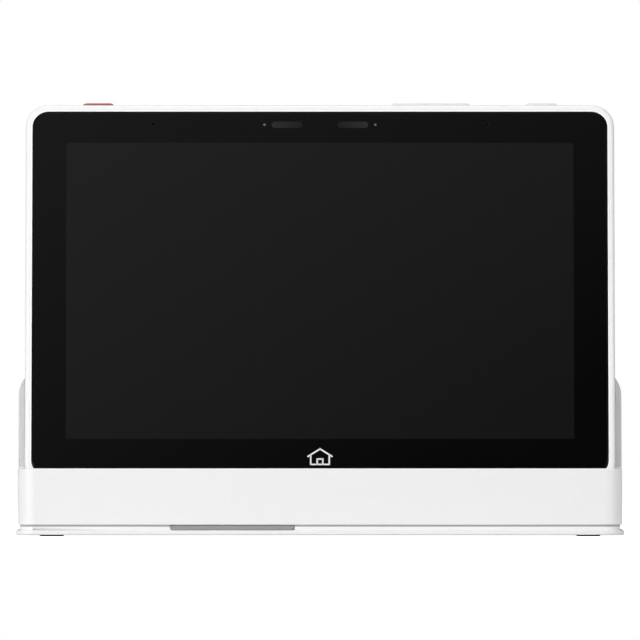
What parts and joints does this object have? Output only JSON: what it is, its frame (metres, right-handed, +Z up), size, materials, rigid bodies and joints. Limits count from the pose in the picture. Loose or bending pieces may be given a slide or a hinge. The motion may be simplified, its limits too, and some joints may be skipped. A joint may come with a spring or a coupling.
{
  "type": "smart home hub",
  "caption": "Touch-screen home hub tablet with a red alarm key, leaning back in a white charging dock with sprung contacts, a base plate and a release latch.",
  "frame": {"origin": "on the table, under the middle of the base plate", "axes": "+X to the viewer's right, +Y from the screen to the back, +Z up"},
  "size_m": [0.2058, 0.0784, 0.147],
  "materials": {
    "tablet_white": "fine satin moulded plastic",
    "key_white": "satin moulded plastic",
    "alarm_red": "satin moulded plastic",
    "black_glass": "polished, printed black behind",
    "black_seal": "matte",
    "screen": "dark, switched off",
    "aluminium_sheet": "satin sheet",
    "steel_screw": "dark zinc",
    "tinned_steel": "bright tin plate",
    "circuit_board": "solder mask",
    "chip_black": "moulded epoxy",
    "battery_wrap": "laminated foil",
    "lead_red": "wire sleeve",
    "flat_cable": "polyimide film",
    "speaker_black": "moulded box",
    "camera_black": "lens and barrel",
    "gold_plate": "gold plated",
    "mic_mesh": "woven acoustic mesh",
    "magnet_nickel": "nickel plated",
    "dock_white": "fine satin moulded plastic",
    "chassis_grey": "moulded plastic",
    "foot_rubber": "matte",
    "pad_rubber": "matte",
    "ballast_steel": "zinc plated plate",
    "spring_steel": "spring wire",
    "latch_grey": "satin moulded plastic"
  },
  "bodies": {
    "dock": {"cradle_shell": "dock_white", "rear_shell": "dock_white", "dock_chassis": "chassis_grey", "base_plate": "dock_white", "foot_front_left": "foot_rubber", "foot_front_right": "foot_rubber", "foot_rear_left": "foot_rubber", "foot_rear_right": "foot_rubber", "ballast_plates": "ballast_steel", "ballast_screws": "steel_screw", "chassis_screws": "steel_screw", "dock_board": "circuit_board", "dock_board_chips": "chip_black", "dock_board_screws": "steel_screw", "usb_socket": "tinned_steel", "pogo_block": "chip_black", "pogo_springs": "spring_steel", "pogo_flex": "flat_cable", "dock_magnets": "magnet_nickel", "cradle_pads": "pad_rubber", "backrest_pads": "pad_rubber", "latch_springs": "spring_steel"},
    "tablet": {"tablet_frame": "tablet_white", "tablet_back_cover": "tablet_white", "cover_glass": "black_glass", "glass_gasket": "black_seal", "lcd_panel": "screen", "mid_plate": "aluminium_sheet", "mid_plate_screws": "steel_screw", "main_board": "circuit_board", "board_shields": "tinned_steel", "board_chips": "chip_black", "board_screws": "steel_screw", "battery_pack": "battery_wrap", "battery_lead": "lead_red", "display_flex": "flat_cable", "speaker_left": "speaker_black", "speaker_right": "speaker_black", "camera_module": "camera_black", "face_sensor": "circuit_board", "microphones": "mic_mesh", "alarm_switch_board": "circuit_board", "key_switch_board": "circuit_board", "key_switches": "tinned_steel", "rocker_bracket": "tinned_steel", "rocker_pin": "steel_screw", "contact_carrier": "chip_black", "contact_pads": "gold_plate", "tablet_magnets": "magnet_nickel"},
    "alarm_key": {"alarm_key": "alarm_red"},
    "volume_rocker": {"volume_rocker": "key_white"},
    "power_key": {"power_key": "key_white"},
    "pogo_pins": {"pogo_pins": "gold_plate"},
    "release_latch": {"release_latch": "latch_grey"}
  },
  "joints": [
    {"name": "tablet_lift_off", "type": "slide", "parent": "dock", "child": "tablet", "axis": [0, 0.3584, 0.9336], "range_m": [0, 0.06]},
    {"name": "alarm_press", "type": "slide", "parent": "tablet", "child": "alarm_key", "axis": [0, -0.3584, -0.9336], "range_m": [0, 0.0008], "stiffness_N_per_m": 1200, "springref_m": -0.0005},
    {"name": "power_press", "type": "slide", "parent": "tablet", "child": "power_key", "axis": [0, -0.3584, -0.9336], "range_m": [0, 0.0006], "stiffness_N_per_m": 1200, "springref_m": -0.0005},
    {"name": "volume_rock", "type": "hinge", "parent": "tablet", "child": "volume_rocker", "pos_m": [0.0377, 0.01679, 0.14131], "axis": [0, 0.9336, -0.3584], "range_deg": [-2.2, 2.2], "stiffness_Nm_per_rad": 0.06},
    {"name": "contact_press", "type": "slide", "parent": "dock", "child": "pogo_pins", "axis": [0, -0.3584, -0.9336], "range_m": [0, 0.0006], "stiffness_N_per_m": 1500, "springref_m": -0.0005, "deforming": ["pogo_springs"]},
    {"name": "latch_press", "type": "slide", "parent": "dock", "child": "release_latch", "axis": [0, 1, 0], "range_m": [0, 0.0015], "stiffness_N_per_m": 900, "springref_m": -0.001, "deforming": ["latch_springs"]}
  ]
}
